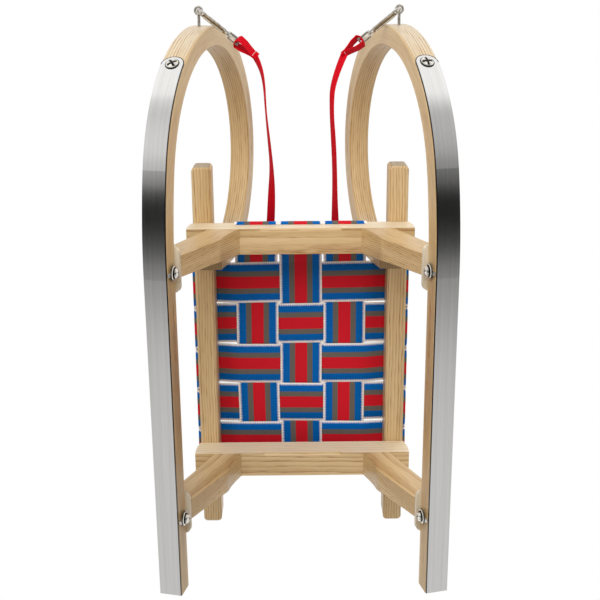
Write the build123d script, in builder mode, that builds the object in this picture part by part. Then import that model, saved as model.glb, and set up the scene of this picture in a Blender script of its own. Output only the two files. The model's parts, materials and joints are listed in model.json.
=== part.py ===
"""Child's horn sled: two bent ash runners with horns, steel shoes, two trestles,
two side rails and a seat of woven webbing, with a pull strap clipped to the horns.

Millimetres. X is across the sled, -Y is the front, Z is up, and the sled stands on z = 0.
Pieces that come in pairs are drawn on the right (+X) and mirrored.
"""
import os
from math import cos, pi, radians, sin, tan

from build123d import *

# Lengthwise places, from the middle of the overall length
front_bar_y = -73.0        # front face of the front crossbar
bar_spacing = 280.5        # from one crossbar's front face to the other's
runner_rear_y = 313.0      # square-cut rear end of the runners
rail_front_y = -138.0
rail_rear_y = 318.0

# Runners, drawn in a plane that leans inward at the top
cant_angle = 13.8
track_half = 136.2         # from the middle to the inner bottom edge of a runner
runner_width = 26.0
width_taper = 0.8          # taken off each side of the wood from its foot to its crown
wood_thickness = 22.0
edge_round = 1.0           # bevel along the long edges
rise_start_y = -53.0       # the bend starts here, with its largest radius
rise_radius = 500.0
rise_angle = 12.7
nose_radius = 171.0
crown_radius = 149.0
crown_turn = 131.3         # from the foremost point, over the crown, to the heel's bend
heel_radius = 98.0
tail_allowance = 12.0      # wood left below the tail's level cut before it is cut

# Steel shoes under the runners
shoe_width = 25.0
shoe_thickness = 1.5
shoe_end_heading = 56.5    # how far round the nose a shoe reaches
shoe_end_round = 12.0

# Crossbars
bar_bottom_z = 143.0
bar_height = 33.0
bar_depth = 30.0
bar_half = 130.5           # half length where the end bulges
bar_top_half = 126.0       # half length at the top edge
bar_end_z = 150.0          # above this a bar's end curves inward
bar_edge = 1.5
arris_half = 46.0          # half length of the stopped chamfer under the front face
arris_cut = 3.0
arris_run_out = 60.0

# Legs under the crossbars
leg_top_outer = 106.0
leg_top_inner_front = 69.5
leg_top_inner_rear = 74.5
cove_end_half = 87.5       # where the cove under a crossbar runs out, from the middle
cove_down = 48.0           # from the crossbar down to the end of the cove
cove_sag = 2.4
leg_elbow = 40.0           # radius where the cove turns out towards the foot
leg_shoulder = 17.0        # a leg keeps its full depth this far below the crossbar
leg_waist = 58.0           # and has drawn in by here
leg_waist_depth = 24.8
leg_foot_depth = 22.5      # a leg's depth where it would meet the ground
leg_ease = 180.0           # radius of the bends in a leg's rear side

# Foot pads between the legs and the runners
pad_length = 50.0
pad_overhang = 5.0
pad_thickness = 4.5
pad_corner = 8.0
pad_lead = 10.5            # from a crossbar's front face forward to a pad's front end

# Side rails
rail_inner_half = 103.2
rail_width = 22.7
rail_height = 35.0
rail_corner = 5.0
rail_edge = 2.0
housing_clearance = 0.1

# Woven seat
web_width = 51.0
web_gap = 1.8
web_thickness = 1.2
web_clearance = 0.1
weave_z = 209.0            # middle of the weave
cross_rows = 5
long_columns = 3
web_tail_gap = 0.97        # from the runners' tails back to the first crosswise band
rail_wrap = 24.0           # how far a crosswise band reaches down a rail's outer side
bar_wrap = 12.0            # how far a lengthwise band reaches down a crossbar

# Eye screws in the noses
eye_height = 165.0         # up the runner's plane
eye_reach = 21.67          # from a nose forward to the foremost point of its eye
eye_ring_radius = 4.0
eye_wire_radius = 1.5
eye_shank_radius = 1.8
eye_depth = 15.0
eye_fit = 0.05
pilot_lead = 1.0           # the pilot hole is bored from this far in front of the nose

# Snap hooks, each pointing from its eye towards the pull strap
hook_direction = (-44.5, 34.7, -3.5)
hook_tilt = -55.0          # from the eye's plane to the hook's
hook_wire_radius = 1.25
hook_half_width = 4.6
hook_length = 35.6         # from the eye's wire to the collar
hook_neck = 6.0            # where the wires close in towards the collar
hook_neck_half = 2.3
hook_nose = 6.0
gate_radius = 1.0
gate_gap = 0.3
collar_radius = 3.7
collar_length = 2.2
lug_length = 14.0
lug_width = 8.0
lug_thickness = 3.0
lug_corner = 1.2
slot_length = 5.2
slot_width = 2.6
slot_wall = 2.0

# Pull strap, as a plain round tube along its route
strap_radius = 2.5
strap_lead = 20.0          # straight run out of each hook's lug
bend_share = 0.45          # part of the shorter run that a bend may take up
# The route between those runs, left to right: x, y, z
strap_points = (
    (-40.8, -238.0, 148.5),
    (-37.6, -206.0, 145.5),
    (-34.6, -172.0, 152.0),
    (-32.0, -136.0, 166.5),
    (-33.6, -98.0, 188.5),
    (-36.0, -58.0, 208.0),
    (-41.0, -10.0, 214.0),
    (-43.5, 40.0, 213.3),
    (-40.0, 92.0, 213.6),
    (-34.5, 140.0, 213.3),
    (-20.0, 178.0, 213.6),
    (5.0, 193.0, 213.3),
    (29.0, 178.0, 213.6),
    (41.5, 142.0, 213.3),
    (43.0, 92.0, 213.6),
    (45.0, 40.0, 213.3),
    (43.0, -10.0, 214.0),
    (42.0, -58.0, 208.0),
    (40.8, -98.0, 188.5),
    (39.6, -136.0, 166.5),
    (37.6, -172.0, 152.0),
    (35.6, -206.0, 145.5),
    (38.2, -238.0, 148.5),
)

# Sizes that follow from the ones above
cant = radians(cant_angle)
outward = Vector(cos(cant), 0, sin(cant))
upward = Vector(-sin(cant), 0, cos(cant))
wood_top = shoe_thickness + wood_thickness
pad_top = wood_top + pad_thickness
pad_width = runner_width + pad_overhang
rise_end_z = shoe_thickness + rise_radius * (1 - cos(radians(rise_angle)))
nose_y = (rise_start_y - rise_radius * sin(radians(rise_angle))
          - nose_radius * (1 - sin(radians(rise_angle))))
nose_z = rise_end_z + nose_radius * cos(radians(rise_angle))
crown_z = nose_z + crown_radius
heel_turn = 180 - crown_turn
tail_rear_y = (nose_y + crown_radius * (1 - cos(radians(crown_turn)))
               + heel_radius * (1 - cos(radians(heel_turn))))
tail_middle_y = tail_rear_y - wood_thickness / 2
rear_bar_y = front_bar_y + bar_spacing
bar_top_z = bar_bottom_z + bar_height
rail_top_z = bar_top_z + rail_height
rail_outer_half = rail_inner_half + rail_width
rail_length = rail_rear_y - rail_front_y
web_skin = web_thickness / 2 + web_clearance
web_pitch = web_width + web_gap
cross_edges = [tail_rear_y + web_tail_gap + row * web_pitch for row in range(cross_rows)]
long_middles = [(column - (long_columns - 1) / 2) * web_pitch for column in range(long_columns)]
eye_centre_y = nose_y - eye_reach + eye_ring_radius + eye_wire_radius

os.makedirs("parts", exist_ok=True)


def save(solid, name):
    """Label a finished piece and write its STEP file."""
    solid.label = name
    export_step(solid, f"parts/{name}.step")


def save_pair(right, name):
    """Write a piece and its mirror image on the left."""
    save(right, f"{name}_right")
    save(mirror(right, about=Plane.YZ), f"{name}_left")


def at_runner(lateral, y, height):
    """A point in the right runner's frame: outward, lengthwise and up its plane."""
    return Vector(track_half, y, 0) + outward * lateral + upward * height


def runner_plane(lateral):
    """The canted plane a distance outward from the right runner's inner side."""
    return Plane(at_runner(lateral, 0, 0), x_dir=(0, 1, 0), z_dir=outward)


def weave_side(row, column):
    """+1 where the lengthwise band lies over the crosswise one, -1 where it lies under."""
    return 1 if (row + column) % 2 == 0 else -1


# Runners: one length of bent ash each, a little narrower towards the crown
with BuildPart() as runner:
    with BuildSketch(runner_plane(0)):
        with BuildLine():
            bottom = Line((runner_rear_y, shoe_thickness), (rise_start_y, shoe_thickness))
            rise = JernArc(bottom @ 1, bottom % 1, rise_radius, -rise_angle)
            nose = JernArc(rise @ 1, rise % 1, nose_radius, rise_angle - 90)
            crown = JernArc(nose @ 1, nose % 1, crown_radius, -crown_turn)
            heel = JernArc(crown @ 1, crown % 1, heel_radius, -heel_turn)
            Line(heel @ 1, ((heel @ 1).X, bar_top_z - tail_allowance))
            offset(amount=wood_thickness, side=Side.LEFT)
        make_face()
    extrude(amount=runner_width)
    with BuildSketch(Plane(at_runner(0, 0, 0), x_dir=outward, z_dir=(0, -1, 0))):
        with BuildLine():
            Polyline((0, 0), (runner_width, 0), (runner_width - width_taper, crown_z),
                     (width_taper, crown_z), close=True)
        make_face()
    extrude(amount=rail_length, both=True, mode=Mode.INTERSECT)
    chamfer(runner.edges().filter_by(lambda edge: edge.length > 1.1 * runner_width), edge_round)
    # The tail is cut level with the rails' underside
    with Locations((rail_inner_half, tail_middle_y, bar_top_z)):
        Box(2 * rail_width, 2 * wood_thickness, 2 * tail_allowance,
            align=(Align.CENTER, Align.CENTER, Align.MAX), mode=Mode.SUBTRACT)
    # Pilot hole for the eye screw
    pilot_start = at_runner(runner_width / 2, nose_y - pilot_lead, eye_height)
    with Locations(Plane(pilot_start, z_dir=(0, -1, 0))):
        Hole(eye_shank_radius + eye_fit, depth=pilot_lead + eye_depth + eye_fit)
save_pair(runner.part, "runner")

# Steel shoes, rounded where they end on the nose
shoe_side = Side.LEFT
with BuildPart() as shoe:
    with BuildSketch(runner_plane((runner_width - shoe_width) / 2)):
        with BuildLine():
            sole = Line((runner_rear_y, shoe_thickness), (rise_start_y, shoe_thickness))
            upsweep = JernArc(sole @ 1, sole % 1, rise_radius, -rise_angle)
            JernArc(upsweep @ 1, upsweep % 1, nose_radius, rise_angle - shoe_end_heading)
            offset(amount=shoe_thickness, side=shoe_side)
        make_face()
    extrude(amount=shoe_width)
    corners = shoe.edges().filter_by(lambda edge: edge.length < 1.1 * shoe_thickness)
    fillet(corners.sort_by(Axis.Y)[:2], shoe_end_round)
save_pair(shoe.part, "shoe")

foot_inner = at_runner(-pad_overhang, 0, pad_top)
foot_outer = at_runner(runner_width, 0, pad_top)
trestles = (("front", front_bar_y, leg_top_inner_front), ("rear", rear_bar_y, leg_top_inner_rear))
for place, bar_y, leg_top_inner in trestles:
    # Foot pad on the runner
    pad_middle = at_runner((runner_width - pad_overhang) / 2, bar_y - pad_lead + pad_length / 2,
                           wood_top)
    with BuildPart() as pad:
        with BuildSketch(Plane(pad_middle, x_dir=(0, 1, 0), z_dir=upward)):
            RectangleRounded(pad_length, pad_width, pad_corner)
        extrude(amount=pad_thickness)
        # Its underside follows the runner where that begins to rise
        add(runner.part, mode=Mode.SUBTRACT)
    save_pair(pad.part, f"foot_pad_{place}")

    # Leg: a cove under the crossbar, then a straight run out to the foot
    with BuildPart() as leg:
        with BuildSketch(Plane.XZ.offset(-bar_y)) as front_view:
            with BuildLine():
                cove = SagittaArc((leg_top_inner, bar_bottom_z),
                                  (cove_end_half, bar_bottom_z - cove_down), cove_sag)
                Polyline(cove @ 1, (foot_inner.X, foot_inner.Z), (foot_outer.X, foot_outer.Z),
                         (leg_top_outer, bar_bottom_z), cove @ 0)
            make_face()
            fillet(front_view.vertices().sort_by_distance(cove @ 1)[0], leg_elbow)
        extrude(amount=-bar_depth)
        # The rear side draws in below the crossbar
        shoulder = (bar_y + bar_depth, bar_bottom_z - leg_shoulder)
        waist = (bar_y + leg_waist_depth, bar_bottom_z - leg_waist)
        with BuildSketch(Plane.YZ) as side_view:
            with BuildLine():
                Polyline((bar_y, bar_bottom_z), (bar_y, 0), (bar_y + leg_foot_depth, 0), waist,
                         shoulder, (bar_y + bar_depth, bar_bottom_z), close=True)
            make_face()
            bends = [side_view.vertices().sort_by_distance(bend)[0] for bend in (shoulder, waist)]
            fillet(bends, leg_ease)
        extrude(amount=2 * track_half, mode=Mode.INTERSECT)
    save_pair(leg.part, f"leg_{place}")

    # Crossbar: ends that curve in towards the top, and a stopped chamfer under the front face
    with BuildPart() as crossbar:
        with BuildSketch(Plane.XZ.offset(-bar_y)):
            with BuildLine():
                Polyline((-bar_half, bar_end_z), (-bar_half, bar_bottom_z),
                         (bar_half, bar_bottom_z), (bar_half, bar_end_z))
                TangentArc((bar_half, bar_end_z), (bar_top_half, bar_top_z), tangent=(0, 1))
                Line((bar_top_half, bar_top_z), (-bar_top_half, bar_top_z))
                TangentArc((-bar_half, bar_end_z), (-bar_top_half, bar_top_z), tangent=(0, 1))
            make_face()
        extrude(amount=-bar_depth)
        top_edges = crossbar.edges().filter_by(Axis.X).group_by(Axis.Z)[-1]
        fillet(top_edges, bar_edge)
        chamfer_face = Plane((0, bar_y, bar_bottom_z), x_dir=(1, 0, 0), z_dir=(0, -1, -1))
        with BuildSketch(chamfer_face.offset(-arris_cut * cos(pi / 4))):
            Rectangle(2 * arris_half, 4 * arris_cut)
        extrude(amount=arris_cut, taper=-arris_run_out, mode=Mode.SUBTRACT)
    save(crossbar.part, f"crossbar_{place}")

# Side rails on the crossbars, each housing the tail of its runner
with BuildPart() as rail:
    with BuildSketch(Plane.XY.offset(bar_top_z)):
        with Locations((rail_inner_half + rail_width / 2, (rail_front_y + rail_rear_y) / 2)):
            RectangleRounded(rail_width, rail_length, rail_corner)
    extrude(amount=rail_height)
    chamfer(rail.faces().filter_by(Axis.Z).edges(), rail_edge)
    tail_side = runner_width - width_taper * bar_top_z / crown_z + housing_clearance
    with BuildSketch(runner_plane(-runner_width)):
        with Locations((tail_middle_y, bar_top_z + rail_height / 2)):
            Rectangle(wood_thickness + 2 * housing_clearance, 4 * rail_height)
    extrude(amount=runner_width + tail_side, mode=Mode.SUBTRACT)
save_pair(rail.part, "side_rail")

# Lengthwise bands: up from the front crossbar, through the weave, down behind the rear one
bar_front_skin = front_bar_y - web_skin
bar_rear_skin = rear_bar_y + bar_depth + web_skin
bar_over = bar_top_z + web_skin
for column, middle in enumerate(long_middles):
    route = [(bar_front_skin, bar_top_z - bar_wrap), (bar_front_skin, bar_over)]
    for row, edge in enumerate(cross_edges):
        level = weave_z + weave_side(row, column) * web_skin
        route += [(edge, level), (edge + web_width, level)]
    route += [(cross_edges[-1] + web_pitch, weave_z), (bar_rear_skin, bar_over),
              (bar_rear_skin, bar_top_z - bar_wrap)]
    with BuildPart() as long_band:
        with BuildLine():
            path = Polyline(*[(middle, y, z) for y, z in route])
        with BuildSketch(Plane(path @ 0, x_dir=(1, 0, 0), z_dir=path % 0)):
            Rectangle(web_width, web_thickness)
        sweep(transition=Transition.RIGHT)
    save(long_band.part, f"web_long_{column + 1}")

# Crosswise bands: over both rails and down their outer sides
rail_skin = rail_outer_half + web_skin
rail_over = rail_top_z + web_skin
for row, edge in enumerate(cross_edges):
    route = [(-rail_skin, rail_top_z - rail_wrap), (-rail_skin, rail_over),
             (-rail_inner_half, rail_over)]
    for column, middle in enumerate(long_middles):
        level = weave_z - weave_side(row, column) * web_skin
        route += [(middle - web_width / 2, level), (middle + web_width / 2, level)]
    route += [(rail_inner_half, rail_over), (rail_skin, rail_over),
              (rail_skin, rail_top_z - rail_wrap)]
    with BuildPart() as cross_band:
        with BuildLine():
            path = Polyline(*[(x, edge + web_width / 2, z) for x, z in route])
        with BuildSketch(Plane(path @ 0, x_dir=(0, 1, 0), z_dir=path % 0)):
            Rectangle(web_width, web_thickness)
        sweep(transition=Transition.RIGHT)
    save(cross_band.part, f"web_cross_{row + 1}")

# Eye screws in the noses
eye_middle = at_runner(runner_width / 2, eye_centre_y, eye_height)
with BuildPart() as eye:
    with BuildSketch(Plane(eye_middle, x_dir=(0, 1, 0), z_dir=outward)):
        with Locations((eye_ring_radius, 0)):
            Circle(eye_wire_radius)
    revolve(axis=Axis(eye_middle, upward))
    with BuildSketch(Plane(eye_middle + Vector(0, eye_ring_radius, 0), z_dir=(0, 1, 0))):
        Circle(eye_shank_radius)
    extrude(amount=nose_y + eye_depth - eye_centre_y - eye_ring_radius)
save_pair(eye.part, "eye_screw")

# Snap hooks: a wire hook through the eye, its gate, a collar, and a lug with a strap slot
aim = Vector(*hook_direction).normalized()
across = upward.cross(aim).normalized()
lift = aim.cross(across)
loop_side = across * cos(radians(hook_tilt)) + lift * sin(radians(hook_tilt))
eye_wire = eye_middle + aim * eye_ring_radius
hook_end = eye_wire + aim * hook_length
lug_start = hook_end + aim * collar_length
lug_end = lug_start + aim * lug_length
with BuildPart() as hook:
    with BuildLine(Plane(eye_wire, x_dir=aim, z_dir=aim.cross(loop_side))):
        neck = Line((hook_length, hook_neck_half), (hook_length - hook_neck, hook_half_width))
        shaft = Line(neck @ 1, (0, hook_half_width))
        bend = ThreePointArc(shaft @ 1, (-hook_half_width, 0), (0, -hook_half_width))
        Line(bend @ 1, (hook_nose, -hook_half_width))
    with BuildSketch(Plane(neck @ 0, z_dir=neck % 0)):
        Circle(hook_wire_radius)
    sweep(transition=Transition.ROUND)
    with BuildLine(Plane(eye_wire, x_dir=aim, z_dir=aim.cross(loop_side))):
        hinge = Line((hook_length, -hook_neck_half), (hook_length - hook_neck, -hook_half_width))
        Line(hinge @ 1, (hook_nose + gate_gap, -hook_half_width))
    with BuildSketch(Plane(hinge @ 0, z_dir=hinge % 0)):
        Circle(gate_radius)
    sweep(transition=Transition.ROUND)
    with BuildSketch(Plane(hook_end, x_dir=across, z_dir=aim)):
        Circle(collar_radius)
    extrude(amount=collar_length)
    with BuildSketch(Plane(lug_start, x_dir=across, z_dir=aim)):
        Rectangle(lug_width, lug_thickness)
    extrude(amount=lug_length)
    with BuildSketch(Plane(lug_end - aim * (slot_wall + slot_width / 2), x_dir=across, z_dir=lift)):
        SlotOverall(slot_length, slot_width)
    extrude(amount=lug_thickness, both=True, mode=Mode.SUBTRACT)
save_pair(hook.part, "snap_hook")

# Pull strap: straight runs joined by arcs as large as the runs allow
right_ends = [lug_end + aim * strap_lead, lug_end]
left_ends = [Vector(-end.X, end.Y, end.Z) for end in reversed(right_ends)]
stops = left_ends + [Vector(*point) for point in strap_points] + right_ends
bend_radii = []
for before, corner, after in zip(stops, stops[1:], stops[2:]):
    turn = (corner - before).get_angle(after - corner)
    shorter = min((corner - before).length, (after - corner).length)
    bend_radii.append(bend_share * shorter / tan(radians(turn / 2)))
with BuildPart() as strap:
    with BuildLine():
        strap_line = FilletPolyline(*stops, radius=bend_radii)
    with BuildSketch(Plane(strap_line @ 0, z_dir=strap_line % 0)):
        Circle(strap_radius)
    sweep()
save(strap.part, "pull_strap")
print("strap length", round(strap_line.length, 1), "bends", [round(r) for r in bend_radii])
print("volume over section times length",
      round(strap.part.volume / (pi * strap_radius ** 2 * strap_line.length), 4))
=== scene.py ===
"""Looks of a child's horn sled: ash, steel shoes, striped webbing and a red pull strap.

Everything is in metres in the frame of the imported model. X is across the sled, -Y is the
front, Z is up, and the ground is at z = 0.
"""
from __future__ import annotations

import json
import logging
import math
from dataclasses import dataclass
from enum import Enum
from typing import Callable, Mapping, Sequence

import bmesh
import bpy
from mathutils import Matrix, Quaternion, Vector

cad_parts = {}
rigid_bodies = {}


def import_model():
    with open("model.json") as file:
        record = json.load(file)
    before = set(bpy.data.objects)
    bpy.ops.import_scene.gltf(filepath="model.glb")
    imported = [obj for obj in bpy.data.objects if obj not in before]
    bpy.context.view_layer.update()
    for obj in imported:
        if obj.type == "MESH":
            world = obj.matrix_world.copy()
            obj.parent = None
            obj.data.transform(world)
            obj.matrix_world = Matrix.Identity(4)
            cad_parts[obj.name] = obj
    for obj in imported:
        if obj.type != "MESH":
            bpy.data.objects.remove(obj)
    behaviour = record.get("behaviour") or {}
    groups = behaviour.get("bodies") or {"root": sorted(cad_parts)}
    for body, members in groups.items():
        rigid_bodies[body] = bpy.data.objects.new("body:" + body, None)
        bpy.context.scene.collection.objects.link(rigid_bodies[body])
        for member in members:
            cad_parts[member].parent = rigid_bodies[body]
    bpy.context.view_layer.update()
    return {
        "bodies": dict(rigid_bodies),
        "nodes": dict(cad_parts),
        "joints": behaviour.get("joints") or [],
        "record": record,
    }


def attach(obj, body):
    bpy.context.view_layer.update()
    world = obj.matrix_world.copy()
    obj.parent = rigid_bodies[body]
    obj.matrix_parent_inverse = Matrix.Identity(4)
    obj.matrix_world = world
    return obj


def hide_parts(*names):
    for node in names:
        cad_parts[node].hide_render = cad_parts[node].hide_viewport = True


LOG = logging.getLogger("sled")
MM = 0.001
TURN = 2 * math.pi
ROOT = "root"
Colour = tuple[float, float, float]
Point = tuple[float, float, float]
Pair = tuple[float, float]
Pairs = tuple[Pair, ...]
Object = bpy.types.Object
Material = bpy.types.Material


def srgb(*parts: int) -> Colour:
    """Turn a display colour, of 0 to 255 in each part, into the linear one of shaders."""
    shares = [part / 255 for part in parts]
    return tuple(share / 12.92 if share <= 0.04045 else ((share + 0.055) / 1.055) ** 2.4
                 for share in shares)


def shaded(colour: Colour, share: float) -> Colour:
    """A darker shade of a colour."""
    return tuple(share * part for part in colour)


class Side(Enum):
    """The two sides of the sled, by the sign of X."""

    LEFT = -1
    RIGHT = 1

    @property
    def label(self) -> str:
        """The word that ends the names of this side's pieces."""
        return self.name.lower()


class Grain(Enum):
    """Which way the wood's grain runs in a piece."""

    ALONG_X = "along_x"
    ALONG_Y = "along_y"
    LEG = "leg"
    BENT = "bent"
    PAD = "pad"


# Node trees
def operator(operation: str, turned: bool = False) -> Callable[..., Number]:
    """Make one of Python's operators add a Math node.

    Args:
        operation: the node's operation.
        turned: whether the other number comes first.

    Returns:
        The operator's method.
    """
    def add(number: Number, *others: object) -> Number:
        """Add the node."""
        return number.graph.math(operation, *((*others, number) if turned else (number, *others)))
    return add


class Number:
    """A result in a node tree, which Python's own operators go on from."""

    __add__, __radd__ = operator("ADD"), operator("ADD", True)
    __sub__, __rsub__ = operator("SUBTRACT"), operator("SUBTRACT", True)
    __mul__, __truediv__, __abs__ = operator("MULTIPLY"), operator("DIVIDE"), operator("ABSOLUTE")
    # 1 where the comparison holds, and 0 elsewhere
    __lt__, __gt__ = operator("LESS_THAN"), operator("GREATER_THAN")

    def __init__(self, graph: Graph, socket: bpy.types.NodeSocket) -> None:
        """Hold an output socket of a graph's tree."""
        self.graph, self.socket = graph, socket

    def clamped(self) -> Number:
        """The same number, kept between 0 and 1 by its own Math node."""
        self.socket.node.use_clamp = True
        return self

    def pick(self, no: object, yes: object) -> Number:
        """One number where this one is 0, and another where it is 1."""
        return no + self * (yes - no)


class Graph:
    """Short calls that build a node tree."""

    def __init__(self, tree: bpy.types.NodeTree) -> None:
        """Work on one tree."""
        self.tree = tree

    def node(self, kind: str, sockets: Mapping[str | int, object] | None = None,
             **settings: object) -> bpy.types.Node:
        """Add a node.

        Args:
            kind: the node's Blender type.
            sockets: what goes into its sockets, by name or index.
            settings: its properties.

        Returns:
            The new node.
        """
        node = self.tree.nodes.new(kind)
        for name, value in settings.items():
            setattr(node, name, value)
        self.fill(node, sockets or {})
        return node

    def get(self, kind: str, sockets: Mapping[str | int, object] | None = None,
            out: str | int = 0, **settings: object) -> Number:
        """Add a node, as node() does, and return the output that out names."""
        return Number(self, self.node(kind, sockets, **settings).outputs[out])

    def fill(self, node: bpy.types.Node, sockets: Mapping[str | int, object]) -> None:
        """Link or set a node's sockets.

        Args:
            node: the node.
            sockets: what goes into its sockets, by name or index.
        """
        for key, value in sockets.items():
            socket = node.inputs[key]
            if isinstance(value, Number):
                self.tree.links.new(value.socket, socket)
            else:
                opaque = socket.type == "RGBA" and len(value) == 3
                socket.default_value = (*value, 1.0) if opaque else value

    def math(self, operation: str, *values: object) -> Number:
        """A Math node's result."""
        return self.get("ShaderNodeMath", dict(enumerate(values)), operation=operation)

    def root_of_squares(self, one: Number, two: Number) -> Number:
        """The length of a line from its two runs."""
        return self.math("SQRT", one * one + two * two)

    def wave(self, value: Number, pitch: object) -> Number:
        """A sine between -1 and 1 that repeats at a pitch."""
        return self.math("SINE", value / pitch * TURN)

    def vector(self, operation: str, *values: object) -> Number:
        """A Vector Math node's result."""
        return self.get("ShaderNodeVectorMath", dict(enumerate(values)), operation=operation)

    def join(self, *parts: object) -> Number:
        """Three numbers as one vector."""
        return self.get("ShaderNodeCombineXYZ", dict(enumerate(parts)))

    def split(self, vector: Number) -> list[Number]:
        """The three parts of a vector."""
        outputs = self.node("ShaderNodeSeparateXYZ", {0: vector}).outputs
        return [Number(self, socket) for socket in outputs]

    def place(self, kind: str = "Object") -> Number:
        """A point's place on the sled, or with "Normal" the way that it faces."""
        return self.get("ShaderNodeTexCoord", out=kind)

    def ramp(self, value: Number, stops: Sequence[tuple[float, Colour | float]],
             mode: str = "LINEAR") -> Number:
        """A colour ramp.

        Args:
            value: the number that it reads.
            stops: places, with a colour or a level of grey for each.
            mode: the way from stop to stop.

        Returns:
            The colour.
        """
        node = self.node("ShaderNodeValToRGB", {0: value})
        ramp = node.color_ramp
        ramp.interpolation = mode
        while len(ramp.elements) < len(stops):
            ramp.elements.new(1.0)
        for element, (place, tone) in zip(ramp.elements, stops):
            element.position = place
            element.color = (*(tone if isinstance(tone, tuple) else (tone,) * 3), 1.0)
        return Number(self, node.outputs[0])

    def noise(self, place: Number, scale: Point, detail: float, roughness: float = 0.5) -> Number:
        """A noise between 0 and 1.

        Args:
            place: where it is read.
            scale: how dense it is along each axis.
            detail, roughness: the noise's own settings.

        Returns:
            The noise.
        """
        return self.get("ShaderNodeTexNoise", {
            "Vector": self.vector("MULTIPLY", place, scale), "Scale": 1.0, "Detail": detail,
            "Roughness": roughness}, "Fac")

    def mix(self, factor: object, one: object, two: object, blend: str = "MIX") -> Number:
        """Two colours, mixed."""
        return self.get("ShaderNodeMix", {0: factor, 6: one, 7: two}, 2, data_type="RGBA",
                        blend_type=blend)


class Finish(Graph):
    """The graph of a new material."""

    def __init__(self, name: str) -> None:
        """Start the material."""
        self.material = bpy.data.materials.new(name)
        self.material.use_nodes = True
        super().__init__(self.material.node_tree)
        self.shader = self.tree.nodes["Principled BSDF"]

    def surface(self, sockets: Mapping[str, object], height: Number | None = None,
                strength: float = 0.0, depth: float = 0.0) -> Material:
        """Fill in the Principled shader.

        Args:
            sockets: what goes into its sockets, by name.
            height: what stands up from the surface, for its bump.
            strength, depth: the bump's strength, and its depth in metres.

        Returns:
            The material.
        """
        self.fill(self.shader, sockets)
        if height is not None:
            self.fill(self.shader, {"Normal": self.get("ShaderNodeBump", {
                "Strength": strength, "Distance": depth, "Height": height})})
        return self.material

    def output(self, result: Number) -> Material:
        """Show another shader instead of the Principled one."""
        self.fill(self.tree.nodes["Material Output"], {"Surface": result})
        return self.material


# The runner's bend
@dataclass(frozen=True)
class Bend:
    """The bent runner's line, as in the solid model, in metres."""

    cant: float = math.radians(13.8)
    track_half: float = 0.1362
    sole: float = 0.0015
    rise_start: float = -0.053
    rise_radius: float = 0.5
    rise_angle: float = math.radians(12.7)
    nose_radius: float = 0.171
    crown_radius: float = 0.149
    crown_turn: float = math.radians(131.3)
    heel_radius: float = 0.098

    @property
    def nose(self) -> tuple[float, float]:
        """Y and height of the foremost point."""
        y = (self.rise_start - self.rise_radius * math.sin(self.rise_angle)
             - self.nose_radius * (1 - math.sin(self.rise_angle)))
        return y, (self.sole + self.rise_radius * (1 - math.cos(self.rise_angle))
                   + self.nose_radius * math.cos(self.rise_angle))

    @property
    def heel_centre(self) -> tuple[float, float]:
        """Y and height of the middle of the heel's bend."""
        reach = self.crown_radius - self.heel_radius
        return (self.nose[0] + self.crown_radius - reach * math.cos(self.crown_turn),
                self.nose[1] + reach * math.sin(self.crown_turn))

    def point(self, side: Side, lateral: float, y: float, height: float) -> Vector:
        """A point in a runner's own frame: outward, lengthwise and up its plane."""
        cosine, sine = math.cos(self.cant), math.sin(self.cant)
        x = self.track_half + lateral * cosine - height * sine
        return Vector((side.value * x, y, lateral * sine + height * cosine))

    def grain(self, graph: Graph) -> Number:
        """Coordinates that follow the bent wood.

        Args:
            graph: the material's graph.

        Returns:
            Along the wood, across it and in from the sole, in metres.
        """
        x, y, z = graph.split(graph.place())
        inboard = abs(x) - self.track_half
        cosine, sine = math.cos(self.cant), math.sin(self.cant)
        across = inboard * cosine + z * sine
        height = z * cosine - inboard * sine
        nose_y, nose_height = self.nose
        heel_y, heel_height = self.heel_centre

        def arc(centre_y: float, centre_height: float, radius: float, turn: int
                ) -> tuple[Number, Number]:
            """Angle from the foremost point, over (+1) or under (-1), and depth from outside."""
            ahead = centre_y - y
            above = (height - centre_height) * turn
            return (graph.math("ARCTAN2", above, ahead),
                    radius - graph.root_of_squares(ahead, above))

        crown_angle, crown_depth = arc(nose_y + self.crown_radius, nose_height,
                                       self.crown_radius, 1)
        heel_angle, heel_depth = arc(heel_y, heel_height, self.heel_radius, 1)
        nose_angle, nose_depth = arc(nose_y + self.nose_radius, nose_height,
                                     self.nose_radius, -1)
        rise_angle, rise_depth = arc(self.rise_start, self.sole + self.rise_radius,
                                     self.rise_radius, -1)
        # Over the nose: crown, heel and straight tail
        over = self.crown_radius * self.crown_turn
        down = over + self.heel_radius * (math.pi - self.crown_turn)
        in_tail = height < heel_height
        back_along = in_tail.pick((heel_angle - self.crown_turn) * self.heel_radius + over,
                                  down + heel_height - height)
        back_depth = in_tail.pick(heel_depth, heel_y + self.heel_radius - y)
        in_crown = (crown_angle < self.crown_turn) * (height > nose_height)
        top_along = in_crown.pick(back_along, crown_angle * self.crown_radius)
        top_depth = in_crown.pick(back_depth, crown_depth)
        # Under the nose: nose, rise and the straight bottom
        steep = math.pi / 2 - self.rise_angle
        under = self.nose_radius * steep
        flat_start = -under - self.rise_radius * self.rise_angle + self.rise_start
        flat = y > self.rise_start
        low_along = flat.pick((steep - rise_angle) * self.rise_radius - under, flat_start - y)
        low_depth = flat.pick(rise_depth, height - self.sole)
        in_nose = nose_angle < steep
        bottom_along = in_nose.pick(low_along, nose_angle * -self.nose_radius)
        bottom_depth = in_nose.pick(low_depth, nose_depth)
        # The upper half, and the tail's foot behind the nose
        tail_zone = (y > 2 * self.rise_start) * (height > nose_height / 2)
        upper = graph.math("MAXIMUM", height > nose_height, tail_zone)
        return graph.join(upper.pick(bottom_along, top_along), across,
                          upper.pick(bottom_depth, top_depth))


BEND = Bend()


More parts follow.
